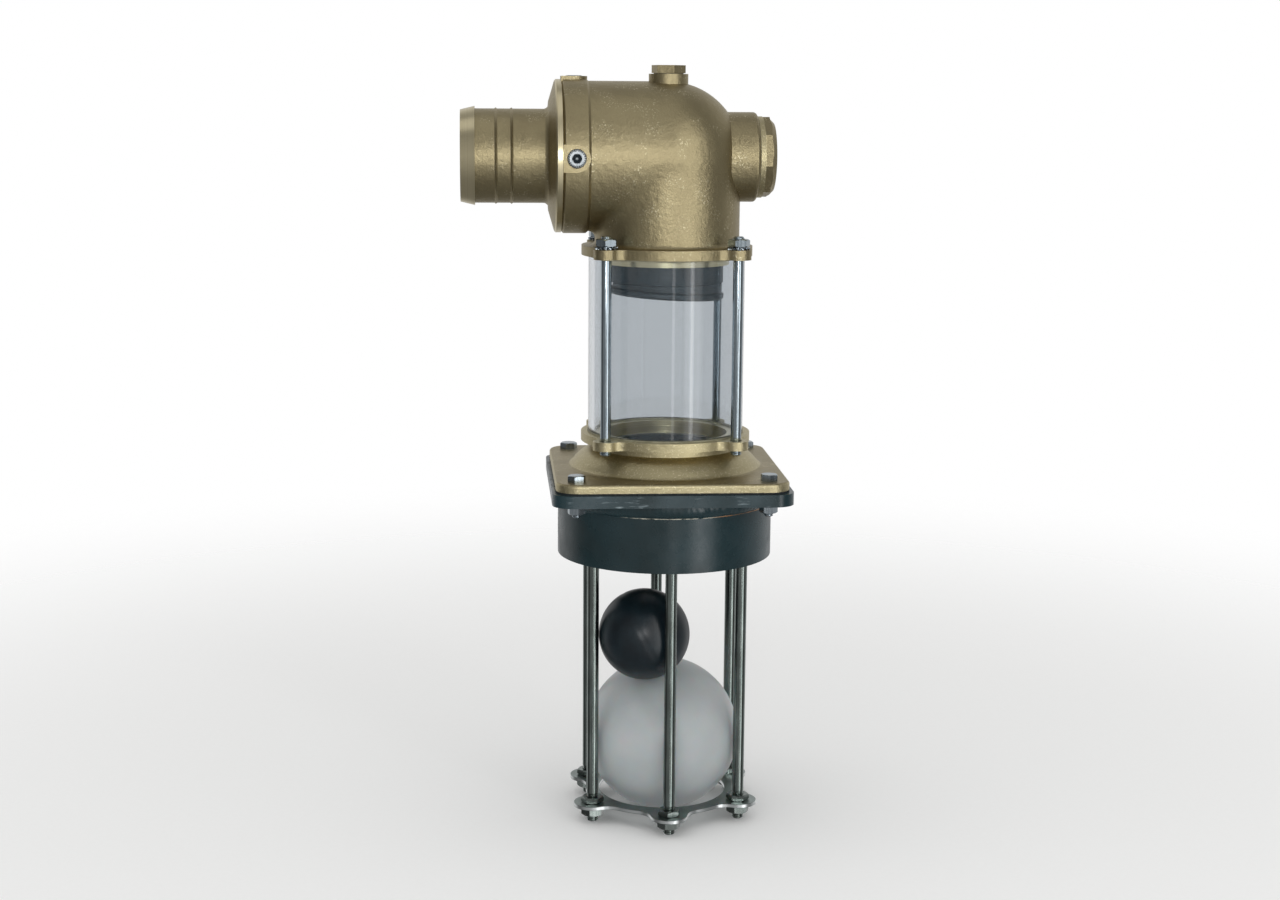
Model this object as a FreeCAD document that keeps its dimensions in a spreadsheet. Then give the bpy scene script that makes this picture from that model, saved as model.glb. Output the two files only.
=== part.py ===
import FreeCAD, Part
import math
import os
import re
import Sketcher

# Overflow valve for a vacuum tank: caged balls, weld-on collar, flange, sight glass, elbow, hose tail.
# Millimetres. Z is the valve axis and Z = 0 the lower edge of the weld-on collar, the part that goes into
# the tank's neck. The rod ends stand cage_drop below it, and the hose tail points along -X.

SIZES = {
    # cage of six rods
    "cage_drop": 227.5,
    "rod_inset": 12.6,
    "rod_r": 4.9,
    "rod_stub": 5.6,
    "rod_grip": 7.0,
    "ring_thick": 3.0,
    "ring_inset": 17.2,
    "ring_waist_inset": 5.8,
    "ring_lug_r": 15.5,
    "ring_fillet": 16.0,
    "nut_flats": 17.0,
    "nut_tall": 8.0,
    "nut_thin": 5.0,
    # balls
    "float_play": 1.6,
    "float_wall": 4.0,
    "signal_r": 38.3,
    "signal_wall": 7.0,
    "ball_gap": 0.3,
    # steel plate and collar that are welded to the tank
    "plate_margin": 3.0,
    "plate_thick": 10.0,
    "plate_corner": 16.0,
    "collar_inset": 4.6,
    "collar_wall": 6.0,
    "collar_drop": 56.0,
    "weld_leg": 6.5,
    "weld_drop": 11.0,
    "weld_bulge": 14.0,
    "weld_root": 4.0,
    "joint_gasket": 1.5,
    # square brass flange with its dome
    "square_side": 190.0,
    "square_thick": 7.0,
    "square_corner": 18.0,
    "square_edge": 2.5,
    "bolt_inset": 16.85,
    "bolt_r": 3.9,
    "bolt_flats": 13.0,
    "bolt_head": 5.3,
    "bolt_nut": 6.5,
    "bolt_stub": 3.0,
    "washer_r": 8.0,
    "washer_thick": 1.6,
    "dome_inset": 13.0,
    "dome_foot": 8.0,
    "dome_rise": 16.0,
    "dome_bend": 40.0,
    "neck_wall": 4.0,
    "neck_step": 5.4,
    "lower_ear_thick": 7.3,
    "throat_ledge": 6.0,
    "throat_drop": 10.5,
    # rubber seat of the large ball, held in the throat
    "seat_r": 58.0,
    "seat_band": 13.0,
    "seat_tall": 16.0,
    "seat_cone": 7.0,
    "seat_lip": 4.0,
    "seat_shoulder": 2.0,
    # sight glass and its studs
    "stud_gap": 5.8,
    "ear_r": 10.3,
    "ear_rim": 6.0,
    "ear_fillet": 9.0,
    "glass_r": 65.0,
    "glass_wall": 5.0,
    "glass_tall": 145.3,
    "glass_gasket": 1.4,
    "stud_r": 4.3,
    "thread_r": 4.9,
    "stud_stub": 4.8,
    "stud_tip": 2.2,
    "stud_thread": 18.0,
    "stud_flats": 16.0,
    "stud_nut": 7.3,
    "stud_washer_thick": 1.3,
    "stud_washer_r": 9.0,
    # elbow casting
    "upper_ear_thick": 8.0,
    "elbow_clear": 11.4,
    "elbow_lap": 1.1,
    "elbow_wall": 6.0,
    "neck_set": 5.0,
    "neck_fillet": 4.0,
    "saddle_fillet": 6.0,
    "bell_face": 88.4,
    "bell_back": 66.0,
    "bell_rim": 1.8,
    "bell_wall": 5.9,
    "bell_depth": 22.0,
    "bell_round": 2.0,
    "step_play": 8.0,
    "spigot_step": 6.8,
    "spigot_r": 43.0,
    "spigot_wall": 4.0,
    "spigot_reach": 14.0,
    "side_boss_r": 36.7,
    "side_boss_rise": 11.9,
    "side_boss_round": 3.0,
    "side_thread_r": 29.5,
    "side_thread_depth": 16.0,
    "top_boss_r": 16.2,
    "top_boss_tall": 6.0,
    "top_thread_r": 10.2,
    "lug_wide": 22.0,
    "lug_rise": 1.9,
    "screw_inset": 10.7,
    # hose tail
    "tail_end": 170.4,
    "tail_r": 38.25,
    "tail_bore_r": 33.5,
    "barb_end_r": 37.4,
    "barb_r": 40.2,
    "barb_long": 11.8,
    "rib_rise": 0.9,
    "rib_wide": 2.4,
    "rib_first": 28.9,
    "rib_step": 12.8,
    "flare_start": 102.0,
    "disc_inset": 0.6,
    "tail_disc": 5.2,
    "tail_flare_r": 45.0,
    "tail_flare": 5.0,
    "skirt_wall": 7.0,
    "ring_cord_r": 1.6,
    # rubber seat of the small ball, pushed over the spigot
    "outlet_r": 47.0,
    "outlet_waist_r": 44.9,
    "outlet_tall": 15.0,
    "outlet_waist": 6.0,
    "outlet_lip": 6.0,
    "outlet_lip_r": 47.8,
    "outlet_hole_r": 34.0,
    "outlet_tilt": 3.0,
    # plugs and clamp screws
    "side_flats": 62.0,
    "side_collar_r": 33.3,
    "side_collar": 3.9,
    "side_head": 9.6,
    "side_dome": 2.6,
    "side_chamfer": 4.0,
    "seal_thick": 0.6,
    "top_flats": 24.6,
    "top_head": 6.4,
    "top_plug_depth": 12.0,
    "screw_r": 4.9,
    "screw_head_r": 7.8,
    "screw_head": 3.0,
    "screw_sink": 2.4,
    "screw_socket": 7.0,
    "screw_bite": 1.5,
    # clearances
    "fit_gap": 0.1,
}

# Levels and radii that follow from the sizes above.
DERIVED = {
    "foot": "-cage_drop",
    "plate_side": "square_side + 2 * plate_margin",
    "bolt_spacing": "square_side - 2 * bolt_inset",
    "dome_r": "square_side / 2 - dome_inset",
    "collar_r": "square_side / 2 - collar_inset",
    "collar_bore_r": "collar_r - collar_wall",
    "rod_circle_r": "collar_bore_r - rod_inset",
    "ring_hole_r": "rod_circle_r - ring_inset",
    "ring_waist_r": "rod_circle_r - ring_waist_inset",
    "float_r": "rod_circle_r - rod_r - float_play",
    "ring_low": "foot + rod_stub + nut_tall",
    "ring_top": "ring_low + ring_thick",
    "hole_r": "rod_r + fit_gap",
    "float_level": "foot + float_r + ball_gap",
    "plate_level": "collar_drop",
    "plate_top": "plate_level + plate_thick",
    "seat_hole_r": "seat_r - seat_band",
    "throat_r": "seat_r - throat_ledge",
    "seat_lip_r": "seat_r - seat_shoulder",
    "cavity_r": "seat_r + seat_shoulder",
    "neck_r": "seat_r + neck_wall",
    "square_low": "plate_top + joint_gasket",
    "square_top": "square_low + square_thick",
    "neck_low": "square_top + dome_rise",
    "lower_ear_low": "neck_low + neck_step",
    "lower_ear_top": "lower_ear_low + lower_ear_thick",
    "seat_top": "lower_ear_top - throat_drop",
    "seat_low": "seat_top - seat_tall",
    "lip_low": "seat_low - seat_lip",
    "glass_low": "lower_ear_top + glass_gasket",
    "glass_top": "glass_low + glass_tall",
    "upper_ear_low": "glass_top + glass_gasket",
    "upper_ear_top": "upper_ear_low + upper_ear_thick",
    "glass_bore_r": "glass_r - glass_wall",
    "ear_circle_r": "glass_r + thread_r + stud_gap",
    "ear_disc_r": "glass_r + ear_rim",
    "spigot_step_r": "glass_bore_r - step_play",
    "elbow_neck_r": "glass_r - neck_set",
    "elbow_r": "elbow_neck_r + elbow_lap",
    "bell_r": "elbow_r + bell_rim",
    "bell_bore_r": "bell_r - bell_wall",
    "tail_disc_r": "bell_r - disc_inset",
    "spigot_bore_r": "bell_bore_r - skirt_wall",
    "lug_face": "bell_r + lug_rise",
    "side_boss_end": "elbow_r + side_boss_rise",
    "top_boss_rise": "elbow_r + top_boss_tall",
    "tail_level": "upper_ear_top + elbow_r + elbow_clear",
    "elbow_bore_r": "elbow_r - elbow_wall",
    "stud_low": "lower_ear_low - stud_stub",
    "stud_top": "upper_ear_top + stud_washer_thick + stud_nut + stud_tip",
    "spigot_bore": "spigot_r - spigot_wall",
    "outlet_top": "upper_ear_low - spigot_step",
    "bolt_circle_r": "bolt_spacing / sqrt(2)",
}

TIE_ANGLES = (45.0, 135.0, 225.0, 315.0)
ROD_ANGLES = (-90.0, -30.0, 30.0, 90.0, 150.0, 210.0)
SCREW_ANGLES = (0.0, -90.0, -180.0)     # front, top and back of the bell
SCREW_SPAN = 180.0
FULL_TURN = 360.0
# Edges are picked out by where they are, in mm: to the first within a flat face, to the second off the axis.
SAME_LEVEL = 0.01
SAME_PLACE = 0.5
SIGNAL_AZIMUTH = -120.0     # the small ball leans this way, between two rods
TOP_HEX_TURN = -75.7        # how the top plug happened to stop when it was tightened
SIDE_OCTAGON_TURN = 11.2

doc = FreeCAD.newDocument("OverflowValve")
sheet = doc.addObject("Spreadsheet::Sheet", "Sizes")
work = doc.addObject("Spreadsheet::Sheet", "Work")
nodes = []


def fill_sheet():
    """Driving sizes as plain numbers, then the values that follow from them."""
    row = 0
    for name, value in SIZES.items():
        row += 1
        sheet.set("A%d" % row, name)
        sheet.set("B%d" % row, str(value))
        sheet.setAlias("B%d" % row, name)
    for name, formula in DERIVED.items():
        row += 1
        sheet.set("A%d" % row, name)
        sheet.set("B%d" % row, "=" + formula)
        sheet.setAlias("B%d" % row, name)
    doc.recompute()


def bound(formula):
    """The formula with each size written as a cell of the sheet."""
    return re.sub(r"\b[a-z]\w*\b(?!\()", lambda word: "Sizes." + word.group(), str(formula))


def numbers(formulas):
    """The present values of some formulas, worked out in a second sheet."""
    for row, formula in enumerate(formulas, start=1):
        work.set("A%d" % row, "=" + bound(formula))
    work.recompute()
    return [float(work.get("A%d" % row)) for row in range(1, len(formulas) + 1)]


def new_body(label, level=None, turn=None):
    body = doc.addObject("PartDesign::Body", label)
    body.Label = label
    if turn is not None:
        body.Placement = FreeCAD.Placement(FreeCAD.Vector(0, 0, 0), turn)
    if level is not None:
        body.setExpression("Placement.Base.z", bound(level))
    nodes.append(body)
    return body


def new_sketch(body, role, offset="0"):
    """A sketch on an origin plane of its body, moved along the plane's normal by the offset."""
    plane = [f for f in body.Origin.OriginFeatures if f.Role == role][0]
    sketch = body.newObject("Sketcher::SketchObject", body.Name + "_outline")
    sketch.AttachmentSupport = (plane, [""])
    sketch.MapMode = "FlatFace"
    if str(offset) != "0":
        sketch.setExpression("AttachmentOffset.Base.z", bound(offset))
    return sketch


def tie(sketch, constraint, formula):
    index = sketch.addConstraint(constraint)
    sketch.setExpression("Constraints[%d]" % index, bound(formula))


def arc_edge(start, end, radius, left):
    """The short arc between two points, with its centre on the left or the right of the way."""
    chord = end.sub(start)
    normal = FreeCAD.Vector(-chord.y, chord.x, 0)
    normal.normalize()
    rise = math.sqrt(max(radius ** 2 - (chord.Length / 2) ** 2, 0.0))
    centre = start + chord * 0.5 + normal * (rise if left else -rise)
    first, last = (start, end) if left else (end, start)
    angle_a = math.atan2(first.y - centre.y, first.x - centre.x)
    angle_b = math.atan2(last.y - centre.y, last.x - centre.x)
    circle = Part.Circle(centre, FreeCAD.Vector(0, 0, 1), radius)
    return Part.ArcOfCircle(circle, angle_a, angle_b + (2 * math.pi if angle_b < angle_a else 0))


def outline(sketch, corners):
    """A closed outline. A corner is (across, up), or (across, up, side, radius) where an arc starts."""
    formulas = [value for corner in corners for value in corner[:2]]
    formulas += [corner[3] for corner in corners if len(corner) == 4]
    values = numbers(formulas)
    points = [FreeCAD.Vector(values[2 * i], values[2 * i + 1], 0) for i in range(len(corners))]
    radii = values[2 * len(corners):]
    ends = []
    for i, corner in enumerate(corners):
        start, end = points[i], points[(i + 1) % len(points)]
        if len(corner) == 4:
            radius = radii.pop(0)
            edge = sketch.addGeometry(arc_edge(start, end, radius, corner[2] == "left"), False)
            tie(sketch, Sketcher.Constraint("Radius", edge, radius), corner[3])
            ends.append((edge, 1, 2) if corner[2] == "left" else (edge, 2, 1))
        else:
            edge = sketch.addGeometry(Part.LineSegment(start, end), False)
            ends.append((edge, 1, 2))
    for i, corner in enumerate(corners):
        before, here = ends[i - 1], ends[i]
        sketch.addConstraint(Sketcher.Constraint("Coincident", before[0], before[2], here[0], here[1]))
        tie(sketch, Sketcher.Constraint("DistanceX", -1, 1, here[0], here[1], points[i].x), corner[0])
        tie(sketch, Sketcher.Constraint("DistanceY", -1, 1, here[0], here[1], points[i].y), corner[1])
    return sketch


def circles(sketch, rounds):
    """Circles, each as (across, up, radius)."""
    values = numbers([value for one in rounds for value in one])
    for i, one in enumerate(rounds):
        across, up, radius = values[3 * i:3 * i + 3]
        circle = Part.Circle(FreeCAD.Vector(across, up, 0), FreeCAD.Vector(0, 0, 1), radius)
        edge = sketch.addGeometry(circle, False)
        tie(sketch, Sketcher.Constraint("Radius", edge, radius), one[2])
        tie(sketch, Sketcher.Constraint("DistanceX", -1, 1, edge, 3, across), one[0])
        tie(sketch, Sketcher.Constraint("DistanceY", -1, 1, edge, 3, up), one[1])
    return sketch


def polygon(sketch, sides, flats, turn):
    """A regular polygon by its size across flats, with one corner at the turn angle."""
    corners = []
    for k in range(sides):
        reach = "%s / 2 / cos(%s)" % (flats, 180.0 / sides)
        angle = turn + 360.0 * k / sides
        corners.append(("%s * cos(%s)" % (reach, angle), "%s * sin(%s)" % (reach, angle)))
    return outline(sketch, corners)


def feature(body, kind, sketch, length=None, **more):
    """A pad, pocket, revolution or groove of a sketch."""
    made = body.newObject("PartDesign::" + kind, body.Name + "_" + kind)
    made.Profile = sketch
    if length is not None:
        made.setExpression("Length", bound(length))
    for name, value in more.items():
        setattr(made, name, value)
    sketch.Visibility = False
    body.Tip = made
    return made


def pad(body, sketch, length):
    return feature(body, "Pad", sketch, length)


def pocket(body, sketch, length):
    doc.recompute()
    before = body.Shape.Volume
    made = feature(body, "Pocket", sketch, length)
    doc.recompute()
    assert body.Shape.Volume < before, body.Label + ": a pocket cut nothing"
    return made


def spin(body, sketch, axis, kind="Revolution"):
    return feature(body, kind, sketch, ReferenceAxis=(sketch, [axis]), Angle=FULL_TURN)


def around(body, original, role, count, span=FULL_TURN):
    """Copies of a feature evenly round an axis of the body, backwards if they don't go all the way round."""
    axis = [f for f in body.Origin.OriginFeatures if f.Role == role][0]
    pattern = body.newObject("PartDesign::PolarPattern", body.Name + "_pattern")
    pattern.Originals = [original]
    pattern.Axis = (axis, [""])
    pattern.Angle = span
    pattern.Reversed = span < FULL_TURN
    pattern.Occurrences = count
    body.Tip = pattern
    doc.recompute()
    return pattern


def round_edges(body, radius, wanted):
    """A fillet on the edges of the body's last feature that the test picks."""
    doc.recompute()
    base = body.Tip
    names = ["Edge%d" % i for i, edge in enumerate(base.Shape.Edges, start=1) if wanted(edge)]
    assert names, body.Label + ": no edge to round"
    fillet = body.newObject("PartDesign::Fillet", body.Name + "_Fillet")
    fillet.Base = (base, names)
    fillet.setExpression("Radius", bound(radius))
    body.Tip = fillet
    doc.recompute()
    return fillet


def upright_between(edge, low, high, radius):
    """Whether an edge stands upright from low to high, at the given distance from the axis."""
    box = edge.BoundBox
    if box.XLength > SAME_LEVEL or box.YLength > SAME_LEVEL:
        return False
    off_axis = math.hypot(box.XMin, box.YMin)
    return (abs(box.ZMin - low) < SAME_LEVEL and abs(box.ZMax - high) < SAME_LEVEL
            and abs(off_axis - radius) < SAME_PLACE)


def turned(label, corners, axis="V_Axis", level=None):
    """A body of one revolved outline. V_Axis turns about Z, H_Axis about X at the body's level."""
    body = new_body(label, level)
    spin(body, outline(new_sketch(body, "XZ_Plane"), corners), axis)
    return body


def compound(label, pieces):
    group = doc.addObject("Part::Compound", label)
    group.Label = label
    group.Links = pieces
    nodes.append(group)
    return group


def cylinder(name, radius, tall, level="0"):
    made = doc.addObject("Part::Cylinder", name)
    made.setExpression("Radius", bound(radius))
    made.setExpression("Height", bound(tall))
    made.setExpression("Placement.Base.z", bound(level))
    return made


def put_round(made, pitch, angle, level):
    """Moves a piece out along an angle from the valve axis, to a level."""
    made.Placement.Rotation = FreeCAD.Rotation(FreeCAD.Vector(0, 0, 1), angle)
    made.setExpression("Placement.Base.x", bound("%s * cos(%s)" % (pitch, angle)))
    made.setExpression("Placement.Base.y", bound("%s * sin(%s)" % (pitch, angle)))
    made.setExpression("Placement.Base.z", bound(level))


def hex_nut(name, flats, tall, hole):
    prism = doc.addObject("Part::Prism", name + "_prism")
    prism.Polygon = 6
    prism.setExpression("Circumradius", bound("%s / 2 / cos(30)" % flats))
    prism.setExpression("Height", bound(tall))
    made = doc.addObject("Part::Cut", name)
    made.Base = prism
    made.Tool = cylinder(name + "_hole", hole, tall)
    return made


def plain_washer(name, radius, thick, hole):
    made = doc.addObject("Part::Cut", name)
    made.Base = cylinder(name + "_disc", radius, thick)
    made.Tool = cylinder(name + "_hole", hole, thick)
    return made


def ring(label, inner, outer, low, tall):
    """A flat ring such as a gasket."""
    made = doc.addObject("Part::Cut", label)
    made.Base = cylinder(label + "_disc", outer, tall, low)
    made.Tool = cylinder(label + "_hole", inner, tall, low)
    made.Label = label
    nodes.append(made)
    return made


def cage_rods():
    for number, angle in enumerate(ROD_ANGLES, start=1):
        rod = cylinder("cage_rod_%d" % number, "rod_r", "square_low + rod_grip - foot")
        rod.Label = "cage_rod_%d" % number
        put_round(rod, "rod_circle_r", angle, "foot")
        nodes.append(rod)


def cage_ring():
    """Cut plate with six rounded lugs; the large ball rests in its hole when the valve hangs."""
    body = new_body("cage_ring")
    disc = circles(new_sketch(body, "XY_Plane", "ring_low"), [("0", "0", "ring_waist_r")])
    pad(body, disc, "ring_thick")
    reach = ("rod_circle_r * cos(30)", "rod_circle_r * sin(30)")
    round_lug = circles(new_sketch(body, "XY_Plane", "ring_low"), [reach + ("ring_lug_r",)])
    lug = pad(body, round_lug, "ring_thick")
    around(body, lug, "Z_Axis", 6)
    low, high, waist = numbers(["ring_low", "ring_top", "ring_waist_r"])
    round_edges(body, "ring_fillet", lambda edge: upright_between(edge, low, high, waist))
    middle = circles(new_sketch(body, "XY_Plane", "ring_top"), [("0", "0", "ring_hole_r")])
    pocket(body, middle, "ring_thick")
    rod_hole = circles(new_sketch(body, "XY_Plane", "ring_top"), [reach + ("hole_r",)])
    hole = pocket(body, rod_hole, "ring_thick")
    around(body, hole, "Z_Axis", 6)


def cage_nuts():
    lower, upper = [], []
    for number, angle in enumerate(ROD_ANGLES, start=1):
        low = hex_nut("cage_lower_nut_%d" % number, "nut_flats", "nut_tall", "hole_r")
        put_round(low, "rod_circle_r", angle, "foot + rod_stub")
        lower.append(low)
        thin = hex_nut("cage_upper_nut_%d" % number, "nut_flats", "nut_thin", "hole_r")
        put_round(thin, "rod_circle_r", angle, "ring_top")
        upper.append(thin)
    compound("cage_lower_nuts", lower)
    compound("cage_upper_nuts", upper)


def hollow_ball(label, radius, wall):
    shell = doc.addObject("Part::Cut", label)
    outside = doc.addObject("Part::Sphere", label + "_outside")
    outside.setExpression("Radius", bound(radius))
    inside = doc.addObject("Part::Sphere", label + "_inside")
    inside.setExpression("Radius", bound("%s - %s" % (radius, wall)))
    shell.Base = outside
    shell.Tool = inside
    shell.Label = label
    nodes.append(shell)
    return shell


def balls():
    """The large float stands under the valve; the small ball leans on it and nearly touches two rods."""
    large = hollow_ball("float_ball", "float_r", "float_wall")
    large.setExpression("Placement.Base.z", bound("float_level"))
    small = hollow_ball("signal_ball", "signal_r", "signal_wall")
    clear = "(rod_r + signal_r + ball_gap)"
    lean = "(rod_circle_r * cos(30) - sqrt(%s * %s - rod_circle_r * rod_circle_r / 4))" % (clear, clear)
    reach = "(float_r + signal_r + ball_gap)"
    small.setExpression("Placement.Base.x", bound("%s * cos(%s)" % (lean, SIGNAL_AZIMUTH)))
    small.setExpression("Placement.Base.y", bound("%s * sin(%s)" % (lean, SIGNAL_AZIMUTH)))
    small.setExpression("Placement.Base.z", bound("float_level + sqrt(%s * %s - %s * %s)"
                                                  % (reach, reach, lean, lean)))


def square(sketch, side):
    half = "%s / 2" % side
    return outline(sketch, [("-" + half, "-" + half), (half, "-" + half), (half, half), ("-" + half, half)])


def corner_edges(low, high, side):
    def wanted(edge):
        return upright_between(edge, low, high, math.hypot(side / 2, side / 2))
    return wanted


def weld_plate():
    body = new_body("weld_plate")
    pad(body, square(new_sketch(body, "XY_Plane", "plate_level"), "plate_side"), "plate_thick")
    low, high, side = numbers(["plate_level", "plate_top", "plate_side"])
    round_edges(body, "plate_corner", corner_edges(low, high, side))
    pocket(body, circles(new_sketch(body, "XY_Plane", "plate_top"), [("0", "0", "collar_bore_r")]),
           "plate_thick")
    bolt_holes(body, "plate_top", "plate_thick")


def bolt_holes(body, top, depth):
    half = "bolt_spacing / 2"
    corner = circles(new_sketch(body, "XY_Plane", top), [(half, half, "bolt_r + fit_gap")])
    around(body, pocket(body, corner, depth), "Z_Axis", 4)


def weld_collar():
    """Collar bevelled at its upper end for the weld, and the weld that fills the bevel and the corner."""
    toe = ("collar_r", "plate_level - weld_drop")
    root = ("collar_r - weld_root", "plate_level")
    turned("weld_collar", [
        ("collar_bore_r", "0"), ("collar_r", "0"), toe, root, ("collar_bore_r", "plate_level")])
    turned("weld_bead", [toe + ("right", "weld_bulge"), ("collar_r + weld_leg", "plate_level"), root])


def flange_gasket():
    body = new_body("flange_gasket")
    pad(body, square(new_sketch(body, "XY_Plane", "plate_top"), "square_side"), "joint_gasket")
    low, high, side = numbers(["plate_top", "square_low", "square_side"])
    round_edges(body, "square_corner", corner_edges(low, high, side))
    pocket(body, circles(new_sketch(body, "XY_Plane", "square_low"), [("0", "0", "collar_bore_r")]),
           "joint_gasket")
    bolt_holes(body, "square_low", "joint_gasket")


def add_ears(body, low, thick, level="0"):
    """Round flange with four ears for the studs, filleted where the ears leave the disc."""
    offset = "%s - %s" % (low, level)
    pad(body, circles(new_sketch(body, "XY_Plane", offset), [("0", "0", "ear_disc_r")]), thick)
    side = "ear_circle_r * cos(45)"
    ear = pad(body, circles(new_sketch(body, "XY_Plane", offset), [(side, side, "ear_r")]), thick)
    around(body, ear, "Z_Axis", 4)
    bottom, tall, disc = numbers([offset, thick, "ear_disc_r"])
    round_edges(body, "ear_fillet", lambda edge: upright_between(edge, bottom, bottom + tall, disc))


def ear_holes(body, top, thick, hole, level="0"):
    side = "ear_circle_r * cos(45)"
    sketch = circles(new_sketch(body, "XY_Plane", "%s - %s" % (top, level)), [(side, side, hole)])
    around(body, pocket(body, sketch, thick), "Z_Axis", 4)


def tank_flange():
    """Brass casting: square plate, dome, neck and eared top, hollow for the balls, seat groove inside."""
    body = new_body("tank_flange")
    pad(body, square(new_sketch(body, "XY_Plane", "square_low"), "square_side"), "square_thick")
    low, high, side = numbers(["square_low", "square_top", "square_side"])
    round_edges(body, "square_corner", corner_edges(low, high, side))
    round_edges(body, "square_edge", lambda edge: abs(edge.BoundBox.ZMin - high) < SAME_LEVEL
                and abs(edge.BoundBox.ZMax - high) < SAME_LEVEL)
    dome = outline(new_sketch(body, "XZ_Plane"), [
        ("0", "square_top - 1"), ("dome_r + dome_foot / 3", "square_top - 1"),
        ("dome_r + dome_foot / 3", "square_top", "right", "dome_foot"),
        ("dome_r + dome_foot / 3 - dome_foot * sin(50)", "square_top + dome_foot * (1 - cos(50))", "left",
         "dome_bend"), ("neck_r", "neck_low"),
        ("neck_r", "lower_ear_low + 1"), ("0", "lower_ear_low + 1")])
    spin(body, dome, "V_Axis")
    add_ears(body, "lower_ear_low", "lower_ear_thick")
    cavity = outline(new_sketch(body, "XZ_Plane"), [
        ("0", "square_low - 1"), ("cavity_r", "square_low - 1"), ("cavity_r", "square_low"),
        ("seat_lip_r", "lip_low"), ("seat_lip_r", "seat_low"), ("seat_r", "seat_low"),
        ("seat_r", "seat_top"), ("throat_r", "seat_top"), ("throat_r", "lower_ear_top + 1"),
        ("0", "lower_ear_top + 1")])
    spin(body, cavity, "V_Axis", "Groove")
    ear_holes(body, "lower_ear_top", "lower_ear_thick + 2", "thread_r + fit_gap")
    bolt_holes(body, "square_top", "square_thick")
    depth = "rod_grip + 1"
    reach = ("rod_circle_r * cos(30)", "rod_circle_r * sin(30)", "hole_r")
    hole = pocket(body, circles(new_sketch(body, "XY_Plane", "square_low + " + depth), [reach]), depth)
    around(body, hole, "Z_Axis", 6)


def throat_seat():
    """Rubber ring in the throat; its lower cone closes on the large ball."""
    turned("throat_seat", [
        ("seat_hole_r + seat_cone", "seat_low"), ("seat_r - fit_gap", "seat_low"),
        ("seat_r - fit_gap", "seat_top"), ("seat_hole_r", "seat_top"),
        ("seat_hole_r", "seat_low + seat_cone")])


def flange_fasteners():
    bolts, washers, nuts = [], [], []
    for number, angle in enumerate(TIE_ANGLES, start=1):
        head = hex_head("flange_bolt_head_%d" % number, "bolt_flats", "bolt_head")
        head.Placement.Rotation = FreeCAD.Rotation(FreeCAD.Vector(0, 0, 1), 20.0)
        shank = cylinder("flange_bolt_shank_%d" % number, "bolt_r",
                         "square_top - plate_level + washer_thick + bolt_nut + bolt_stub",
                         "plate_level - washer_thick - bolt_nut - bolt_stub - square_top")
        bolt = doc.addObject("Part::Fuse", "flange_bolt_%d" % number)
        bolt.Base, bolt.Tool = head, shank
        put_round(bolt, "bolt_circle_r", angle, "square_top")
        bolts.append(bolt)
        washer = plain_washer("flange_washer_%d" % number, "washer_r", "washer_thick", "bolt_r + fit_gap")
        put_round(washer, "bolt_circle_r", angle, "plate_level - washer_thick")
        washers.append(washer)
        nut = hex_nut("flange_nut_%d" % number, "bolt_flats", "bolt_nut", "bolt_r + fit_gap")
        put_round(nut, "bolt_circle_r", angle, "plate_level - washer_thick - bolt_nut")
        nuts.append(nut)
    compound("flange_bolts", bolts)
    compound("flange_washers", washers)
    compound("flange_nuts", nuts)


def hex_head(name, flats, tall):
    prism = doc.addObject("Part::Prism", name)
    prism.Polygon = 6
    prism.setExpression("Circumradius", bound("%s / 2 / cos(30)" % flats))
    prism.setExpression("Height", bound(tall))
    return prism


def sight_glass():
    ring("lower_glass_gasket", "glass_bore_r - 1", "glass_r + 0.5", "lower_ear_top", "glass_gasket")
    ring("sight_glass", "glass_bore_r", "glass_r", "glass_low", "glass_tall")
    ring("upper_glass_gasket", "glass_bore_r - 1", "glass_r + 0.5", "glass_top", "glass_gasket")


def tie_studs():
    """Studs with thicker threaded ends: screwed into the lower ears, nutted over the upper ones."""
    nuts, washers = [], []
    for number, angle in enumerate(TIE_ANGLES, start=1):
        stud = doc.addObject("Part::MultiFuse", "tie_stud_%d" % number)
        stud.Shapes = [
            cylinder("tie_shank_%d" % number, "stud_r", "stud_top - stud_low"),
            cylinder("tie_foot_%d" % number, "thread_r", "lower_ear_top - stud_low"),
            cylinder("tie_head_%d" % number, "thread_r", "stud_thread", "stud_top - stud_low - stud_thread")]
        stud.Label = "tie_stud_%d" % number
        put_round(stud, "ear_circle_r", angle, "stud_low")
        nodes.append(stud)
        washer = plain_washer(
            "tie_washer_%d" % number, "stud_washer_r", "stud_washer_thick", "thread_r + fit_gap")
        put_round(washer, "ear_circle_r", angle, "upper_ear_top")
        washers.append(washer)
        nut = hex_nut("tie_nut_%d" % number, "stud_flats", "stud_nut", "thread_r + fit_gap")
        put_round(nut, "ear_circle_r", angle, "upper_ear_top + stud_washer_thick")
        nuts.append(nut)
    compound("tie_stud_washers", washers)
    compound("tie_stud_nuts", nuts)


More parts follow.
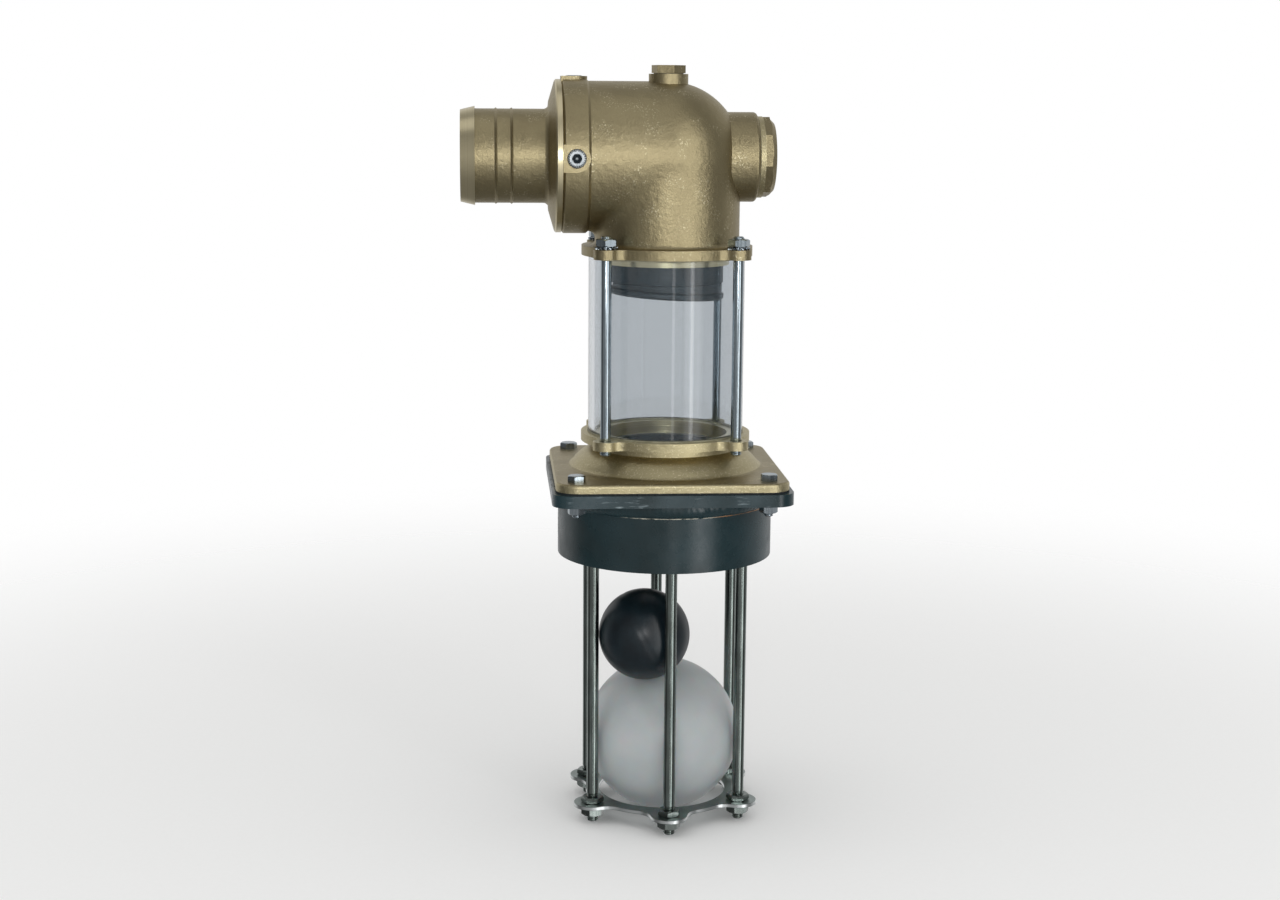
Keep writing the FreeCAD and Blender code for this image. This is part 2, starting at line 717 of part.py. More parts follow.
def elbow_housing():
    """Hollow brass elbow. Its body is drawn about the tail axis, so levels below it are negative."""
    body = new_body("elbow_housing", "tail_level")
    shell = outline(new_sketch(body, "XZ_Plane"), [
        ("-bell_face", "0"), ("-bell_face", "bell_r - bell_round"),
        ("-bell_face + bell_round", "bell_r"), ("-bell_back - bell_round", "bell_r"),
        ("-bell_back", "elbow_r"), ("0", "elbow_r", "right", "elbow_r"), ("elbow_r", "0")])
    spin(body, shell, "H_Axis")
    ear_top = "upper_ear_top - tail_level"
    neck = outline(new_sketch(body, "XZ_Plane"), [
        ("0", "0"), ("0", ear_top + " - 1"), ("elbow_neck_r + neck_fillet", ear_top + " - 1"),
        ("elbow_neck_r + neck_fillet", ear_top, "right", "neck_fillet"),
        ("elbow_neck_r", ear_top + " + neck_fillet"), ("elbow_neck_r", "0")])
    spin(body, neck, "V_Axis")
    third, = numbers(["elbow_neck_r / 3"])
    round_edges(body, "saddle_fillet", lambda edge: in_the_crook(edge, third))
    add_ears(body, "upper_ear_low", "upper_ear_thick", "tail_level")
    boss = outline(new_sketch(body, "XZ_Plane"), [
        ("0", "0"), ("side_boss_end", "0"), ("side_boss_end", "side_boss_r - side_boss_round", "left",
                                             "side_boss_round"),
        ("side_boss_end - side_boss_round", "side_boss_r"), ("0", "side_boss_r")])
    spin(body, boss, "H_Axis")
    pad(body, circles(new_sketch(body, "XY_Plane"), [("0", "0", "top_boss_r")]), "top_boss_rise")
    lug = pad(body, lug_outline(new_sketch(body, "XZ_Plane")), "lug_face")
    around(body, lug, "X_Axis", len(SCREW_ANGLES), SCREW_SPAN)
    spigot = outline(new_sketch(body, "XZ_Plane"), [
        ("0", "upper_ear_low - tail_level + 1"), ("0", "outlet_top - spigot_reach - tail_level"),
        ("spigot_r", "outlet_top - spigot_reach - tail_level"),
        ("spigot_r", "outlet_top - tail_level"),
        ("spigot_step_r", "outlet_top - tail_level"), ("spigot_step_r", "upper_ear_low - tail_level + 1")])
    spin(body, spigot, "V_Axis")
    hollow_elbow(body)


def in_the_crook(edge, length):
    """Whether an edge is where the neck runs into the underside of the bell's tube."""
    box = edge.BoundBox
    return box.XMin < -length and box.ZMax < 0 and min(box.XLength, box.YLength, box.ZLength) > length


def lug_outline(sketch):
    """Lug on the bell, square towards the tail and round towards the elbow."""
    half = "lug_wide / 2"
    centre = "-bell_face + screw_inset"
    return outline(sketch, [
        ("-bell_face", "-" + half), (centre, "-" + half, "left", half),
        (centre + " + " + half, "0", "left", half), (centre, half), ("-bell_face", half)])


def hollow_elbow(body):
    ear_top = "upper_ear_top - tail_level"
    run = outline(new_sketch(body, "XZ_Plane"), [
        ("-bell_face - 1", "0"), ("-bell_face - 1", "bell_bore_r"),
        ("-bell_face + bell_depth", "bell_bore_r"), ("-bell_face + bell_depth", "elbow_bore_r"),
        ("0", "elbow_bore_r", "right", "elbow_bore_r"),
        ("elbow_bore_r", "0")])
    spin(body, run, "H_Axis", "Groove")
    drop = outline(new_sketch(body, "XZ_Plane"), [
        ("0", "0"), ("0", "outlet_top - spigot_reach - tail_level - 1"),
        ("spigot_bore", "outlet_top - spigot_reach - tail_level - 1"), ("spigot_bore", ear_top),
        ("elbow_neck_r - elbow_wall", ear_top + " + 3"), ("elbow_neck_r - elbow_wall", "0")])
    spin(body, drop, "V_Axis", "Groove")
    side = circles(new_sketch(body, "YZ_Plane", "side_boss_end"), [("0", "0", "side_thread_r")])
    pocket(body, side, "side_boss_end - elbow_bore_r / 2")
    top = circles(new_sketch(body, "XY_Plane", "top_boss_rise"), [("0", "0", "top_thread_r + fit_gap")])
    pocket(body, top, "top_boss_rise - elbow_bore_r / 2")
    for radius, depth in (("screw_r", "lug_face - bell_bore_r / 2"), ("screw_head_r", "screw_sink")):
        screw = circles(new_sketch(body, "XZ_Plane", "lug_face"),
                        [("-bell_face + screw_inset", "0", radius + " + fit_gap")])
        around(body, pocket(body, screw, depth), "X_Axis", len(SCREW_ANGLES), SCREW_SPAN)
    ear_holes(body, "upper_ear_top", "upper_ear_thick", "thread_r + fit_gap", "tail_level")


def hose_tail():
    """Turned and cast brass tail: barb, two ribs, flare, disc against the bell, spigot inside it."""
    face = "-bell_face - fit_gap"
    ribs = []
    for k in range(2):
        start = "-tail_end + rib_first + %d * rib_step" % k
        ribs += [(start + " - rib_wide / 2", "tail_r"), (start, "tail_r + rib_rise"),
                 (start + " + rib_wide / 2", "tail_r")]
    groove = "-bell_face + bell_depth - 2 * ring_cord_r"
    skirt = "bell_bore_r - fit_gap"
    floor = skirt + " - 1.7 * ring_cord_r"
    screw = "-bell_face + screw_inset"
    corners = [("-tail_end", "tail_bore_r"), ("-tail_end", "barb_end_r"),
               ("-tail_end + barb_long", "barb_r"), ("-tail_end + barb_long", "tail_r")]
    corners += ribs
    corners += [("-flare_start", "tail_r", "left", "tail_flare"),
                ("-flare_start + tail_flare * 0.7", "tail_flare_r"),
                (face + " - tail_disc", "tail_disc_r - 1"), (face + " - tail_disc + 1", "tail_disc_r"),
                (face, "tail_disc_r"), (face, skirt),
                (screw + " - screw_r", skirt), (screw + " - screw_r", "bell_bore_r - 2"),
                (screw + " + screw_r", "bell_bore_r - 2"), (screw + " + screw_r", skirt),
                (groove + " - ring_cord_r - fit_gap", skirt), (groove + " - ring_cord_r - fit_gap", floor),
                (groove + " + ring_cord_r + fit_gap", floor), (groove + " + ring_cord_r + fit_gap", skirt),
                ("-bell_face + bell_depth - fit_gap", skirt),
                ("-bell_face + bell_depth - fit_gap", "spigot_bore_r"),
                (face, "spigot_bore_r"), ("-flare_start", "tail_bore_r")]
    turned("hose_tail", corners, "H_Axis", "tail_level")
    cord = doc.addObject("Part::Torus", "hose_tail_o_ring")
    cord.setExpression("Radius1", bound("bell_bore_r - fit_gap - ring_cord_r * 0.85"))
    cord.setExpression("Radius2", bound("ring_cord_r * 0.82"))
    cord.Placement.Rotation = FreeCAD.Rotation(FreeCAD.Vector(0, 1, 0), 90)
    cord.setExpression("Placement.Base.x", bound(groove))
    cord.setExpression("Placement.Base.z", bound("tail_level"))
    cord.Label = "hose_tail_o_ring"
    nodes.append(cord)


def clamp_screws():
    """Socket screws sunk in the bell's lugs; they press on the groove of the hose tail."""
    screws = []
    for number, angle in enumerate(SCREW_ANGLES, start=1):
        seat = "lug_face - screw_sink"
        shank = cylinder("clamp_shank_%d" % number, "screw_r", seat + " - bell_bore_r + screw_bite",
                         "bell_bore_r - screw_bite")
        head = cylinder("clamp_head_%d" % number, "screw_head_r", "screw_head", seat)
        whole = doc.addObject("Part::Fuse", "clamp_whole_%d" % number)
        whole.Base, whole.Tool = head, shank
        socket = doc.addObject("Part::Prism", "clamp_socket_%d" % number)
        socket.Polygon = 6
        socket.setExpression("Circumradius", bound("screw_socket / 2 / cos(30)"))
        socket.setExpression("Height", bound("screw_head"))
        socket.setExpression("Placement.Base.z", bound(seat + " + screw_head / 4"))
        screw = doc.addObject("Part::Cut", "clamp_screw_%d" % number)
        screw.Base, screw.Tool = whole, socket
        screw.Placement.Rotation = FreeCAD.Rotation(FreeCAD.Vector(1, 0, 0), 90 + angle)
        screw.setExpression("Placement.Base.x", bound("-bell_face + screw_inset"))
        screw.setExpression("Placement.Base.z", bound("tail_level"))
        screws.append(screw)
    compound("clamp_screws", screws)


def outlet_seat():
    """Rubber sleeve on the spigot inside the glass; its soft lower lip hangs a little crooked."""
    sleeve_low = "-outlet_tall - outlet_waist"
    fit = "spigot_r + fit_gap"
    sleeve = doc.addObject("Part::Revolution", "outlet_sleeve")
    sleeve.Source = loose_outline("outlet_sleeve_outline", [
        (fit, "0"), ("outlet_r", "0"), ("outlet_r", "-outlet_tall"), ("outlet_waist_r", "-outlet_tall - 1"),
        ("outlet_waist_r", sleeve_low), ("outlet_hole_r + 4", sleeve_low),
        ("outlet_hole_r + 4", "-spigot_reach - fit_gap"), (fit, "-spigot_reach - fit_gap")])
    lip = doc.addObject("Part::Revolution", "outlet_lip_turned")
    lip.Source = loose_outline("outlet_lip_outline", [
        ("outlet_hole_r + 3", "3"), ("outlet_waist_r - 0.1", "3"), ("outlet_waist_r - 0.1", "0"),
        ("outlet_lip_r", "-1.5"),
        ("outlet_lip_r", "-outlet_lip + 1.5"), ("outlet_lip_r - 1.5", "-outlet_lip"),
        ("outlet_hole_r + 5", "-outlet_lip"), ("outlet_hole_r", "-outlet_lip + 4"), ("outlet_hole_r", "-1")])
    for made in (sleeve, lip):
        made.Axis = FreeCAD.Vector(0, 0, 1)
        made.Angle = 360.0
        made.Solid = True
    lip.Placement.Rotation = FreeCAD.Rotation(FreeCAD.Vector(0, 1, 0), numbers(["outlet_tilt"])[0])
    lip.setExpression("Placement.Base.z", bound(sleeve_low))
    seat = doc.addObject("Part::Fuse", "outlet_seat")
    seat.Base, seat.Tool = sleeve, lip
    seat.setExpression("Placement.Base.z", bound("outlet_top"))
    seat.Label = "outlet_seat"
    nodes.append(seat)


def loose_outline(name, corners):
    """A sketch of its own, standing in the XZ plane, for a plain revolution."""
    sketch = doc.addObject("Sketcher::SketchObject", name)
    sketch.Placement = FreeCAD.Placement(
        FreeCAD.Vector(0, 0, 0), FreeCAD.Rotation(FreeCAD.Vector(1, 0, 0), 90))
    return outline(sketch, corners)


def side_plug():
    """Large plug with an eight-sided head and a domed face, screwed into the side boss."""
    ring_end = "side_boss_end + seal_thick"
    head_end = ring_end + " + side_collar + side_head"
    body = new_body("side_plug", "tail_level")
    core = outline(new_sketch(body, "XZ_Plane"), [
        ("side_boss_end - side_thread_depth", "0"), (head_end + " + side_dome", "0"),
        (head_end, "side_flats / 2 - side_chamfer"), (ring_end, "side_flats / 2 - side_chamfer"),
        (ring_end, "side_thread_r - fit_gap"),
        ("side_boss_end - side_thread_depth", "side_thread_r - fit_gap")])
    spin(body, core, "H_Axis")
    collar = circles(new_sketch(body, "YZ_Plane", ring_end), [("0", "0", "side_collar_r")])
    pad(body, collar, "side_collar")
    face = new_sketch(body, "YZ_Plane", ring_end + " + side_collar")
    pad(body, polygon(face, 8, "side_flats", SIDE_OCTAGON_TURN), "side_head")
    trim = outline(new_sketch(body, "XZ_Plane"), [
        (head_end + " - side_chamfer", "side_flats / 2 + 1"),
        (head_end + " + 1", "side_flats / 2 - side_chamfer"),
        (head_end + " + 1", "side_flats / 2 + 6"), (head_end + " - side_chamfer", "side_flats / 2 + 6")])
    spin(body, trim, "H_Axis", "Groove")
    turned("side_plug_seal", [
        ("side_boss_end", "side_thread_r + fit_gap"), (ring_end, "side_thread_r + fit_gap"),
        (ring_end, "side_collar_r"), ("side_boss_end", "side_collar_r")], "H_Axis", "tail_level")


def top_plug():
    body = new_body("top_plug", "tail_level")
    washer_top = "top_boss_rise + seal_thick"
    inner_end = new_sketch(body, "XY_Plane", "top_boss_rise - top_plug_depth")
    pad(body, circles(inner_end, [("0", "0", "top_thread_r")]), "top_plug_depth + seal_thick")
    head = polygon(new_sketch(body, "XY_Plane", washer_top), 6, "top_flats", TOP_HEX_TURN)
    pad(body, head, "top_head")
    low, high = "tail_level + top_boss_rise", "seal_thick"
    ring("top_plug_seal", "top_thread_r + fit_gap", "top_flats / 2", low, high)


def check_and_write():
    """Stops on any failed object or bad shape, then writes one file for each node."""
    doc.recompute()
    for made in doc.Objects:
        if "Invalid" in made.State or "Error" in made.State:
            raise RuntimeError("%s did not build: %s" % (made.Label, made.State))
    for node in nodes:
        if node.Shape.isNull() or not node.Shape.isValid() or node.Shape.Volume <= 0:
            raise RuntimeError(node.Label + " has no valid solid")
    os.makedirs("parts", exist_ok=True)
    for node in nodes:
        node.Shape.exportStep("parts/%s.step" % node.Label)
        box = node.Shape.BoundBox
        print("%-22s solids %d volume %10.0f  x %.1f %.1f  y %.1f %.1f  z %.1f %.1f" % (
            node.Label, len(node.Shape.Solids), node.Shape.Volume,
            box.XMin, box.XMax, box.YMin, box.YMax, box.ZMin, box.ZMax))


fill_sheet()
cage_rods()
cage_ring()
cage_nuts()
balls()
weld_plate()
weld_collar()
flange_gasket()
tank_flange()
throat_seat()
flange_fasteners()
sight_glass()
tie_studs()
elbow_housing()
hose_tail()
clamp_screws()
outlet_seat()
side_plug()
top_plug()
check_and_write()
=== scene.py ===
import math

import bmesh
import bpy
from mathutils import Matrix, Vector, noise


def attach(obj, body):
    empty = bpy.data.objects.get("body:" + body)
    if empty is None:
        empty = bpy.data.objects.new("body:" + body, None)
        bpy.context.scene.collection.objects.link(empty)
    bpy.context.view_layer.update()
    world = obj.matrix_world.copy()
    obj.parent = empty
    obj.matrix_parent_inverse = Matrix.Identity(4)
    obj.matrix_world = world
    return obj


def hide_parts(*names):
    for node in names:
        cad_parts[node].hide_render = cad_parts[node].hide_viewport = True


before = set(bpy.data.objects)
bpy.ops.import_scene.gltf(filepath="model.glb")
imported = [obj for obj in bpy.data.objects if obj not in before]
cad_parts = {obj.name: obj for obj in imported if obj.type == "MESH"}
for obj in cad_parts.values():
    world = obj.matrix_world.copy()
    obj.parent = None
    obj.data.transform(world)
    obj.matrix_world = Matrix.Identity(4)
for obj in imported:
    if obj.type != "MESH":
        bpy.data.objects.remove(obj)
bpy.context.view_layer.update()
mm = 0.001

# Counter flange: a square mild steel plate on a rolled collar, the part that is welded into the tank.
# Sprayed with dark slate paint after welding; the paint is satin, a little orange-peeled,
# and scratched here and there along the plate's edges.

plate_half = 98.0


def linear(code):
    """An sRGB hex value as a linear colour."""
    parts = [int(code[i:i + 2], 16) / 255 for i in (1, 3, 5)]
    return [p / 12.92 if p <= 0.04045 else ((p + 0.055) / 1.055) ** 2.4 for p in parts] + [1.0]


def put(tree, kind, inputs={}, **settings):
    """Adds one node with its settings and gives its outputs; an input takes a value or such an output."""
    node = tree.nodes.new("ShaderNode" + kind)
    for key, value in settings.items():
        setattr(node, key, value)
    for key, value in inputs.items():
        if isinstance(value, bpy.types.NodeSocket):
            tree.links.new(value, node.inputs[key])
        else:
            node.inputs[key].default_value = value
    return node.outputs


def finish_named(name):
    """An empty material, its tree, and the object coordinates in metres."""
    material = bpy.data.materials.new(name)
    material.use_nodes = True
    material.node_tree.nodes.clear()
    return material, material.node_tree, put(material.node_tree, "TexCoord")["Object"]


def blotches(tree, place, size, low, high, detail=3.0):
    """A 0 to 1 mask of spots about size mm across, from where the noise passes low up to high."""
    spots = put(tree, "TexNoise", {"Vector": place, "Scale": 1 / (size * mm), "Detail": detail})[0]
    return put(tree, "MapRange", {"Value": spots, "From Min": low, "From Max": high})[0]


def band(tree, value, low, high, soft=0.15):
    """A mask of 1 where the value, in m, lies between low and high mm, with edges that soft."""
    rise, fall = (put(tree, "MapRange", {"Value": value, "From Min": (level - soft) * mm,
                                         "From Max": (level + soft) * mm})[0] for level in (low, high))
    return put(tree, "Math", {0: rise, 1: fall}, operation="SUBTRACT")[0]


def layered(tree, base, *layers):
    """A base colour with others laid over it, each (colour, masks...) where all of its masks meet."""
    colour = linear(base)
    for shade, meet, *masks in layers:
        for mask in masks:
            meet = put(tree, "Math", {0: meet, 1: mask}, operation="MULTIPLY")[0]
        colour = put(tree, "Mix", {0: meet, 6: colour, 7: linear(shade)}, data_type="RGBA")[2]
    return colour


def uneven(tree, place, size, depth, detail=2.0, under={}):
    """The normal of a skin that rises and falls by depth mm over about size mm."""
    height = put(tree, "TexNoise", {"Vector": place, "Scale": 1 / (size * mm), "Detail": detail})[0]
    return put(tree, "Bump", {"Height": height, "Distance": depth * mm, "Strength": 1.0} | under)[0]


def clothe(material, *names):
    """Gives CAD nodes a material."""
    for name in names:
        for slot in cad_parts[name].material_slots:
            slot.material = material


def slate_paint(name, weld_toe=None):
    """Paint, with knocks along the plate's edges; over a weld it has flaked along the toe at that height."""
    material, tree, place = finish_named(name)
    axes = put(tree, "SeparateXYZ", {0: place})
    wide, deep = (put(tree, "Math", {0: axes[i]}, operation="ABSOLUTE")[0] for i in (0, 1))
    out = put(tree, "Math", {0: wide, 1: deep}, operation="MAXIMUM")[0]
    rim = band(tree, out, plate_half - 1, 2 * plate_half, 0.3)
    smear = put(tree, "Mapping", {"Vector": place, "Rotation": (0.2, 0.35, 0), "Scale": (0.16, 0.3, 1.4)})[0]
    layers = [("#20353a", blotches(tree, place, 60, 0.35, 0.65)),
              ("#37464b", rim, blotches(tree, place, 30, 0.4, 0.7, 5.0)),
              ("#7f8d92", rim, blotches(tree, smear, 2.2, 0.56, 0.68, 5.0),
               blotches(tree, place, 22, 0.46, 0.58))]
    if weld_toe is not None:
        toe = band(tree, axes[2], weld_toe - 0.3, weld_toe + 0.8, 0.4)
        bare, rusty = band(tree, axes[0], -34, 44, 10), band(tree, axes[0], 34, 200, 6)
        layers += [("#c9c5b6", toe, bare, blotches(tree, place, 5, 0.38, 0.5, 5.0)),
                   ("#93653c", toe, rusty, blotches(tree, place, 6, 0.42, 0.56, 5.0))]
    worn = blotches(tree, place, 18, 0.3, 0.7, 4.0)
    paint = put(tree, "BsdfPrincipled", {
        "IOR": 1.5, "Base Color": layered(tree, "#17282b", *layers),
        "Normal": uneven(tree, place, 3.2, 0.06),
        "Roughness": put(tree, "MapRange", {"Value": worn, "To Min": 0.2, "To Max": 0.38})[0]})[0]
    put(tree, "OutputMaterial", {"Surface": paint})
    return material


clothe(slate_paint("slate_paint"), "weld_plate", "weld_collar")

# Weld between plate and collar: one run of hand-laid bead with its ripples, painted over.
# Along its toe the paint has flaked in front, where it shows a pale line and, to the right, rust.

collar_r, plate_level, bead_leg, bead_drop, bead_root = 90.4, 56.0, 6.5, 11.0, 4.0
swell_out, swell_down, ripple, ripple_depth, lump_size, lump_depth = 1.8, 1.1, 4.6, 0.2, 11, 1.1


def turned(outline, steps=48):
    """A turned blank: an outline of (radius, height) spun about Z, open where it starts on the axis."""
    blank = bmesh.new()
    corners = [blank.verts.new((r * mm, 0, h * mm)) for r, h in outline]
    last = corners[1:] + corners[:1] if outline[0][0] > 0 else corners[1:]
    lines = [blank.edges.new(pair) for pair in zip(corners, last)]
    bmesh.ops.spin(blank, geom=corners + lines, cent=(0, 0, 0), axis=(0, 0, 1), angle=math.tau,
                   steps=steps, use_merge=True)
    bmesh.ops.remove_doubles(blank, verts=blank.verts, dist=0.0005 * mm)
    bmesh.ops.recalc_face_normals(blank, faces=blank.faces)
    return blank


def piece(name, shape, material, slot, *stands_for, body="root", crease=32):
    """Makes the object, smooth but for its creases, and puts it in the frame for the nodes it stands for."""
    mesh = bpy.data.meshes.new(name)
    shape.to_mesh(mesh)
    shape.free()
    mesh.shade_smooth()
    mesh.set_sharp_from_angle(angle=math.radians(crease))
    mesh.materials.append(material)
    made = bpy.data.objects.new(name, mesh)
    bpy.context.scene.collection.objects.link(made)
    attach(made, body)
    if stands_for:
        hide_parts(*stands_for)


ripples = round(math.tau * collar_r / ripple)
bead = turned([(collar_r - bead_root, plate_level), (collar_r, plate_level - bead_drop)]
              + [(collar_r + bead_leg * t + swell_out * bulge,
                  plate_level - bead_drop * (1 - t) - swell_down * bulge)
                 for t, bulge in ((k / 10, 4 * k / 10 * (1 - k / 10)) for k in range(1, 10))]
              + [(collar_r + bead_leg, plate_level)], steps=ripples * 5)
for point in bead.verts:
    out = math.hypot(point.co.x, point.co.y) - collar_r * mm
    if out > 0.1 * mm:
        slant = 3.0 * (point.co.z / mm - plate_level) / bead_drop
        turn = math.atan2(point.co.y, point.co.x) * ripples + slant
        lump = noise.noise(point.co / (lump_size * mm))
        furrow = ripple_depth * mm * (0.5 - 0.5 * math.cos(turn + 5 * lump))
        dent = furrow + lump_depth * mm * (0.5 + lump)
        point.co.xy *= 1 - min(dent, out) / (out + collar_r * mm)
piece("weld_run", bead, slate_paint("flaked_slate_paint", plate_level - bead_drop), "painted_steel",
      "weld_bead", crease=60)

# Gaskets: the large one is cut from sheet rubber, dead black, and shows as a dark line under the brass;
# the two under and over the sight glass are pale silicone, which takes the colour of the brass round it.
# The plugs sit on thin rings of olive brown pressed fibre.

sheet_rubber, tree, place = finish_named("sheet_rubber")
put(tree, "OutputMaterial", {"Surface": put(tree, "BsdfPrincipled", {
    "Roughness": 0.7, "IOR": 1.5, "Normal": uneven(tree, place, 1.2, 0.05),
    "Base Color": layered(tree, "#101416", ("#1d2326", blotches(tree, place, 6, 0.4, 0.6)))})[0]})
clothe(sheet_rubber, "flange_gasket", "hose_tail_o_ring")
silicone, tree, place = finish_named("pale_silicone")
put(tree, "OutputMaterial", {"Surface": put(tree, "BsdfPrincipled", {
    "Roughness": 0.5, "IOR": 1.41,
    "Base Color": layered(tree, "#7f7c67", ("#93907b", blotches(tree, place, 9, 0.4, 0.6)))})[0]})
clothe(silicone, "lower_glass_gasket", "upper_glass_gasket")
fibre, tree, place = finish_named("pressed_fibre")
put(tree, "OutputMaterial", {"Surface": put(tree, "BsdfPrincipled", {
    "Roughness": 0.75, "IOR": 1.5, "Normal": uneven(tree, place, 0.8, 0.03),
    "Base Color": layered(tree, "#5f5a45", ("#77715a", blotches(tree, place, 2, 0.4, 0.6)))})[0]})
clothe(fibre, "side_plug_seal", "top_plug_seal")

# Brass castings: the square flange with its dome, and the elbow with its bell and bosses.
# Sand cast and blasted, so the skin is a dull olive gold with a grain, and pale flecks in it are painted
# glints;
# the plate's rim is paler, the band from the dome up to the lower ears is painted paler as light against the
# dome's shade, and the throat and the spigot were turned afterwards and are smooth and paler, partly as
# painted highlight.

casting_grain, throat_r, plate_rim, above_plate = 1.5, 60.5, (66.0, 73.8), (75.5, 103.6)
spigot, crook_r, crook_x, crook_z, crook_fade = (220, 251.2), 14.0, (-58, 30), (273, 345), 5


def brass(name, grain, worked_faces=(), rubbed_and_lit_faces=(), marks=0.04, along="Z", crook=None):
    """Cast skin with that grain in mm, with pale flecks painted in as glints. Faces are (axis or "r", from
    mm, to mm):
    worked ones were turned and keep tool marks of that depth in mm along that axis, and are paler, partly as
    painted highlight; rubbed-and-lit ones are paler, partly from wear and partly as painted light against
    shade. In the elbow's crook the light flows over the skin as over a fillet of that radius in mm."""
    material, tree, place = finish_named(name)
    axes = put(tree, "SeparateXYZ", {0: place})
    flat = put(tree, "CombineXYZ", {0: axes[0], 1: axes[1]})[0]
    reach = put(tree, "VectorMath", {0: flat}, operation="LENGTH")["Value"]

    def faces(bands):
        total = 0.0
        for axis, low, high in bands:
            mask = band(tree, reach if axis == "r" else axes["XYZ".index(axis)], low, high)
            total = put(tree, "Math", {0: mask, 1: total}, operation="MAXIMUM")[0]
        return total

    sand = put(tree, "TexNoise", {"Vector": place, "Scale": 1 / (grain * mm), "Detail": 4.0,
                                  "Roughness": 0.65})[0]
    # Paler faces: partly wear, partly painted light against shade, as on the flange's dome.
    rubbed_and_lit = faces(rubbed_and_lit_faces)
    glint_patches = put(tree, "Math", {0: blotches(tree, place, 20, 0.5, 0.62), 1: rubbed_and_lit}, operation="MAXIMUM")[0]
    # Pale flecks: painted glints in the grain.
    painted_glints = put(tree, "MapRange", {"Value": sand, "From Min": 0.57, "From Max": 0.65})[0]
    skin = layered(tree, "#9c9070", ("#a89c7a", blotches(tree, place, 38, 0.3, 0.7, 5.0)),
                   ("#c0b590", rubbed_and_lit), ("#e2d8b6", painted_glints, glint_patches))
    under = {}
    if crook:
        across, height = band(tree, axes[0], *crook_x, crook_fade), band(tree, axes[2], *crook_z, crook_fade)
        flowing = put(tree, "Math", {0: across, 1: height}, operation="MULTIPLY")[0]
        under["Normal"] = put(tree, "Mix", {
            0: flowing, 4: put(tree, "NewGeometry")["Normal"],
            5: put(tree, "Bevel", {"Radius": crook * mm}, samples=8)[0]}, data_type="VECTOR")[1]
    cast = put(tree, "BsdfPrincipled", {
        "Metallic": 1.0, "Base Color": skin,
        "Roughness": put(tree, "MapRange", {"Value": sand, "To Min": 0.32, "To Max": 0.5})[0],
        "Normal": put(tree, "Bump", {"Height": sand, "Distance": 0.22 * mm, "Strength": 1.0,
                                     "Normal": uneven(tree, place, 5, 0.4, 4.0, under)})[0]})[0]
    lines = put(tree, "TexNoise", {"W": axes["XYZ".index(along)], "Scale": 1 / (1.1 * mm), "Detail": 2.0},
                noise_dimensions="1D")[0]
    # Turned faces: their own paler colour, lightened further as painted highlight.
    smooth = put(tree, "BsdfPrincipled", {
        "Metallic": 1.0, "Roughness": 0.28, "Base Color": layered(tree, "#c9bd99", ("#e0d5b3", lines)),
        "Normal": put(tree, "Bump", {"Height": lines, "Distance": marks * mm, "Strength": 1.0})[0]})[0]
    put(tree, "OutputMaterial", {"Surface": put(tree, "MixShader", {
        0: faces(worked_faces), 1: cast, 2: smooth})[0]})
    return material


# On the flange, the band above the plate is painted paler as light against the dome's shade.
clothe(brass("sand_cast_flange_brass", casting_grain, [("r", -1, throat_r)],
             [("Z", *plate_rim), ("Z", *above_plate)], marks=0.12), "tank_flange")
clothe(brass("sand_cast_elbow_brass", casting_grain, [("Z", *spigot)], crook=crook_r), "elbow_housing")

# Rubber seats: one moulded ring in the throat for the large ball, and one with a soft lip that is
# stretched over the elbow's spigot for the small ball. Slate black nitrile with a satin skin.

nitrile, tree, place = finish_named("moulded_nitrile")
put(tree, "OutputMaterial", {"Surface": put(tree, "BsdfPrincipled", {
    "Roughness": 0.42, "IOR": 1.5, "Normal": uneven(tree, place, 3, 0.08),
    "Base Color": layered(tree, "#17272e", ("#253a43", blotches(tree, place, 20, 0.35, 0.65)))})[0]})
clothe(nitrile, "throat_seat", "outlet_seat")

# Sight glass: a sawn length of cast acrylic tube, clear, with a faint haze in places.
# Its shadow is let through, because clear plastic throws hardly any.

acrylic, tree, place = finish_named("cast_acrylic")
haze = put(tree, "MapRange", {"Value": blotches(tree, place, 40, 0.4, 0.8), "To Max": 0.06})[0]
clear = put(tree, "BsdfPrincipled", {"Transmission Weight": 1.0, "IOR": 1.49, "Roughness": haze,
                                     "Base Color": linear("#d1d5d8")})[0]
through = put(tree, "BsdfTransparent", {"Color": linear("#eef2f2")})[0]
put(tree, "OutputMaterial", {"Surface": put(tree, "MixShader", {
    0: put(tree, "LightPath")["Is Shadow Ray"], 1: clear, 2: through})[0]})
clothe(acrylic, "sight_glass")

# Tie studs: four M10 studs in the lower ears, with a thinner plain shank between rolled threads.
# Steel with bright zinc plate, blue-grey and slightly clouded.

tie_circle, tie_angles = 75.7, (45, 135, 225, 315)
stud_low, stud_top, lower_ear_top, stud_thread = 91.1, 270.1, 103.2, 18.0
shank_r, thread_r, thread_depth, coarse_pitch, end_chamfer, run_out = 4.3, 4.9, 0.75, 1.5, 0.9, 0.6


def zinc_plate(name, dark, light, gloss):
    """Bright plate on steel, clouded lengthways, with that roughness where it is clearest."""
    material, tree, place = finish_named(name)
    drawn = put(tree, "Mapping", {"Vector": place, "Scale": (1.0, 1.0, 0.06)})[0]
    cloud = blotches(tree, drawn, 1.6, 0.3, 0.7)
    put(tree, "OutputMaterial", {"Surface": put(tree, "BsdfPrincipled", {
        "Metallic": 1.0, "Base Color": layered(tree, dark, (light, cloud)),
        "Roughness": put(tree, "MapRange", {"Value": cloud, "To Min": gloss, "To Max": gloss + 0.07})[0],
        "Normal": put(tree, "Bump", {"Height": cloud, "Distance": 0.008 * mm, "Strength": 1.0})[0]})[0]})
    return material


